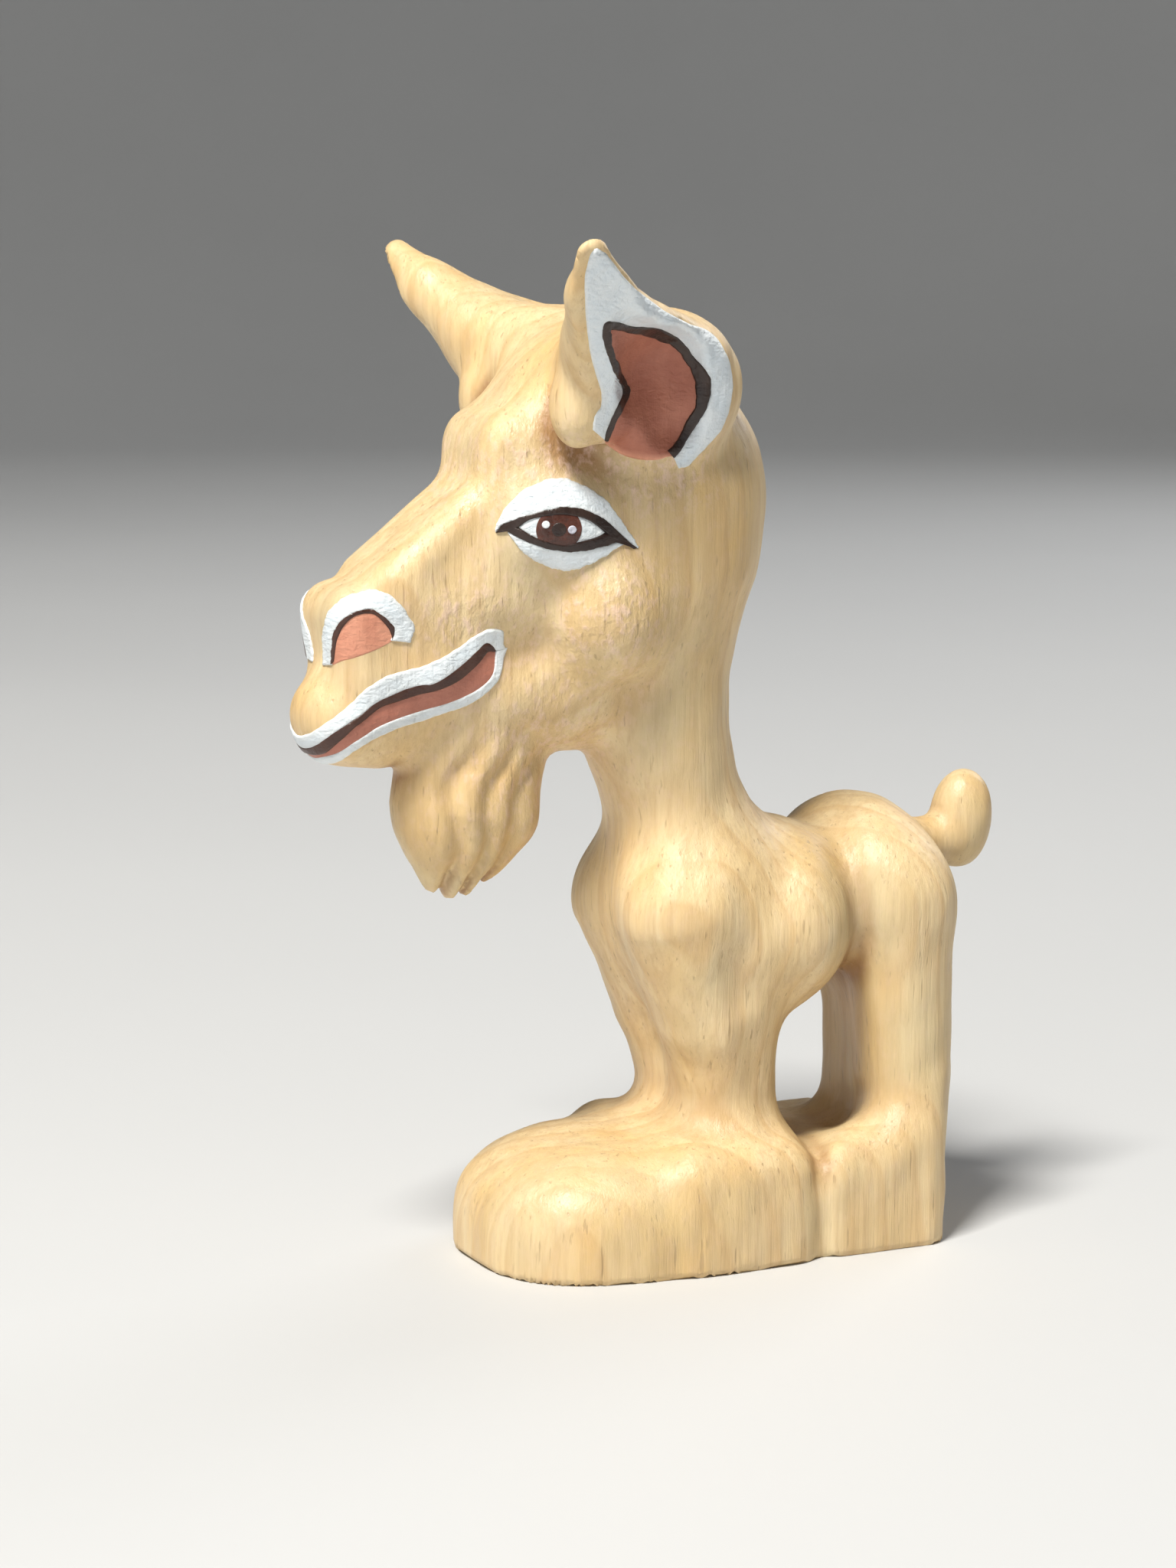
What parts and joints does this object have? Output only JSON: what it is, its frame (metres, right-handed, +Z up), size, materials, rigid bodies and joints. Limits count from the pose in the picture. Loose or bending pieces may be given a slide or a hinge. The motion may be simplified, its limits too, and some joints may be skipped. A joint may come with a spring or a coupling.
{
  "type": "painted carved wooden goat figurine",
  "caption": "Standing goat figurine carved from one block of pale wood, with wide cupped ears, a beard, a footed base and painted eyes, ears, nostrils and lips.",
  "frame": {"origin": "on the floor, under the middle of the goat's bounding box, where the mirror plane meets the underside", "axes": "+Z up along the neck, -Y the way the snout points, +X toward the goat's left side; the goat is the same on both sides of X = 0"},
  "size_m": [0.0454, 0.0678, 0.0898],
  "materials": {
    "wood": "pale straw-coloured wood, hand carved, satin, upright grain",
    "paint_white": "brushed white paint, slightly blue, raised edges",
    "paint_black": "black-brown outline paint, satin",
    "paint_brown": "dark brown outline paint, satin",
    "paint_iris": "dark red-brown paint, glossier than the rest",
    "paint_ear_pink": "terracotta pink paint, thinner and brighter at the foot of the hollow",
    "paint_nostril_pink": "pale terracotta paint",
    "paint_lip_pink": "dusky pink paint with upright brush ridges"
  },
  "bodies": {
    "root": {"left_ear_line_black": "paint_black", "left_ear_lining_pink": "paint_ear_pink", "left_ear_rim_white": "paint_white", "left_eye_outline_black": "paint_black", "left_eye_white_back": "paint_white", "left_eye_white_front": "paint_white", "left_highlight_back": "paint_white", "left_highlight_front": "paint_white", "left_iris_brown": "paint_iris", "left_lower_lid_white": "paint_white", "left_nostril_line_brown": "paint_brown", "left_nostril_pink": "paint_nostril_pink", "left_nostril_rim_white": "paint_white", "left_pupil_black": "paint_black", "left_upper_lid_white": "paint_white", "lip_band_white": "paint_white", "lower_lip_edge_white": "paint_white", "lower_lip_pink": "paint_lip_pink", "mouth_line_brown": "paint_brown", "right_ear_line_black": "paint_black", "right_ear_lining_pink": "paint_ear_pink", "right_ear_rim_white": "paint_white", "right_eye_outline_black": "paint_black", "right_eye_white_back": "paint_white", "right_eye_white_front": "paint_white", "right_highlight_back": "paint_white", "right_highlight_front": "paint_white", "right_iris_brown": "paint_iris", "right_lower_lid_white": "paint_white", "right_nostril_line_brown": "paint_brown", "right_nostril_pink": "paint_nostril_pink", "right_nostril_rim_white": "paint_white", "right_pupil_black": "paint_black", "right_upper_lid_white": "paint_white", "wood_carving": "wood"}
  },
  "joints": []
}
